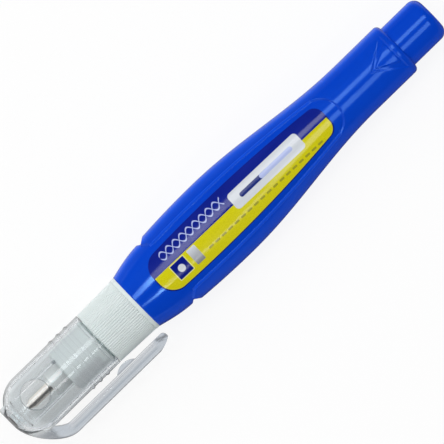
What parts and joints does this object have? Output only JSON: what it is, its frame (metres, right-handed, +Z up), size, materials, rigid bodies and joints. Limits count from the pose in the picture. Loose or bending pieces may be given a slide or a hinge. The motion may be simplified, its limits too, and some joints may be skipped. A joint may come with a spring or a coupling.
{
  "type": "correction pen",
  "caption": "Squeezable correction-fluid pen with a winged flat bottle, ribbed white collar, spring-loaded metal tip and a clear vented cap with a pocket clip.",
  "frame": {"origin": "on the table under the middle of the pen's box as it lies on its back, label up", "axes": "+X along the pen from the cap to the tail, +Z up through the label, the pocket clip on the -Y side"},
  "size_m": [0.14, 0.0234, 0.0165],
  "materials": {
    "blue_plastic": "glossy blue polyethylene",
    "label_film": "printed film",
    "ball_steel": "polished steel",
    "white_plastic": "satin white polypropylene",
    "gasket_rubber": "soft natural elastomer",
    "tip_nickel": "turned, nickel plated",
    "pin_steel": "ground stainless steel",
    "spring_steel": "drawn spring wire",
    "natural_plastic": "natural plastic",
    "clear_plastic": "clear moulded plastic",
    "clear_sleeve": "clear soft plastic"
  },
  "bodies": {
    "pen": {"bottle": "blue_plastic", "front_label": "label_film", "collar": "white_plastic", "neck_gasket": "gasket_rubber", "metal_tip": "tip_nickel", "spring_retainer": "natural_plastic", "valve_spring": "spring_steel"},
    "cap": {"cap": "clear_plastic", "inner_cap": "clear_sleeve"},
    "pin": {"valve_pin": "pin_steel"},
    "ball": {"mixing_ball": "ball_steel"}
  },
  "joints": [
    {"name": "cap_pull", "type": "slide", "parent": "pen", "child": "cap", "axis": [-1, 0, 0], "range_m": [0, 0.035]},
    {"name": "pin_press", "type": "slide", "parent": "pen", "child": "pin", "axis": [1, 0, 0], "range_m": [0, 0.0004], "stiffness_N_per_m": 200, "springref_m": -0.001, "deforming": ["valve_spring"]},
    {"name": "ball_roll", "type": "slide", "parent": "pen", "child": "ball", "axis": [1, 0, 0], "range_m": [-0.0085, 0.0345]}
  ]
}
